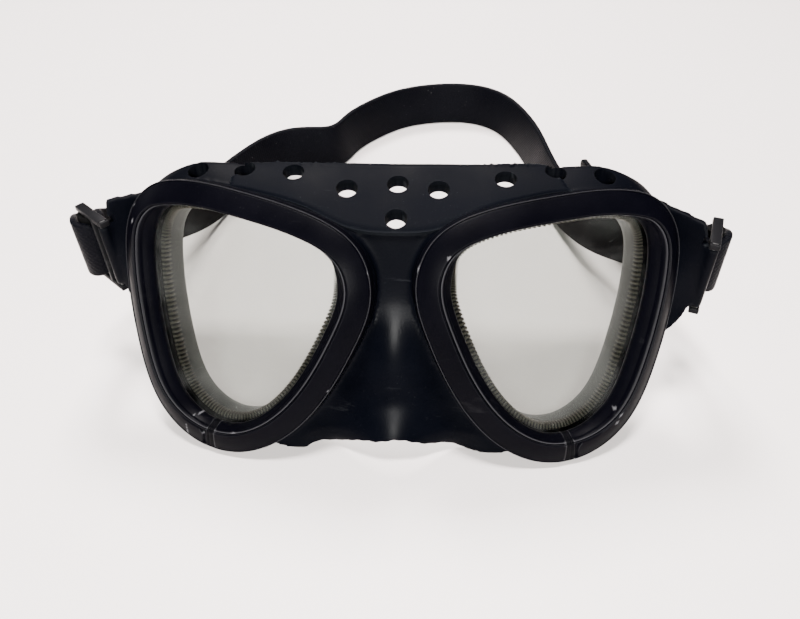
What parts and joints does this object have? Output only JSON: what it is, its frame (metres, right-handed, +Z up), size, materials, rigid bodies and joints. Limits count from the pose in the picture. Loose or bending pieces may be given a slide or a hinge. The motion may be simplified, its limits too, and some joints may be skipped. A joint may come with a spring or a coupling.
{
  "type": "goggles",
  "caption": "Rubber goggles with a lens in each clamping rim, a vented brow, a moulded nose cover and an adjustable head strap in swivelling side buckles.",
  "frame": {"origin": "on the surface the goggles stand on, at the middle of their outline seen from above", "axes": "+X towards the wearer's left, +Y from the lenses towards the back of the head, +Z up"},
  "size_m": [0.2052, 0.2296, 0.0732],
  "materials": {
    "rubber": "satin moulded",
    "band_rubber": "satin, finely scratched",
    "key_rubber": "matte",
    "strap_rubber": "matte, fine crosshatch",
    "rim_plastic": "semi-gloss, worn",
    "lens_glass": "clear",
    "ring_plastic": "satin",
    "sleeve_plastic": "translucent satin",
    "buckle_plastic": "semi-gloss",
    "roller_plastic": "smooth",
    "pin_steel": "smooth"
  },
  "bodies": {
    "mask": {"facepiece": "rubber", "brow_band": "band_rubber", "left_rim": "rim_plastic", "left_rim_key": "key_rubber", "left_lens": "lens_glass", "left_ribbed_ring": "ring_plastic", "left_lens_sleeve": "sleeve_plastic", "left_hinge_pin": "pin_steel", "left_strap_tail": "strap_rubber", "right_rim": "rim_plastic", "right_rim_key": "key_rubber", "right_lens": "lens_glass", "right_ribbed_ring": "ring_plastic", "right_lens_sleeve": "sleeve_plastic", "right_hinge_pin": "pin_steel", "right_strap_tail": "strap_rubber", "strap": "strap_rubber"},
    "left_buckle": {"left_buckle_frame": "buckle_plastic", "left_roller_pin": "pin_steel", "left_strap_fold": "strap_rubber"},
    "left_roller_body": {"left_roller": "roller_plastic"},
    "right_buckle": {"right_buckle_frame": "buckle_plastic", "right_roller_pin": "pin_steel", "right_strap_fold": "strap_rubber"},
    "right_roller_body": {"right_roller": "roller_plastic"}
  },
  "joints": [
    {"name": "left_buckle_pivot", "type": "hinge", "parent": "mask", "child": "left_buckle", "pos_m": [-0.0869, -0.07539, 0.04922], "axis": [0, 0, 1], "range_deg": [-40, 40]},
    {"name": "left_roller_spin", "type": "hinge", "parent": "left_buckle", "child": "left_roller_body", "pos_m": [-0.09533, -0.06832, 0.04922], "axis": [0, 0, 1], "continuous": true},
    {"name": "right_buckle_pivot", "type": "hinge", "parent": "mask", "child": "right_buckle", "pos_m": [0.0931, -0.07839, 0.04682], "axis": [0, 0, 1], "range_deg": [-45, 12]},
    {"name": "right_roller_spin", "type": "hinge", "parent": "right_buckle", "child": "right_roller_body", "pos_m": [0.09668, -0.06799, 0.04682], "axis": [0, 0, 1], "continuous": true}
  ]
}
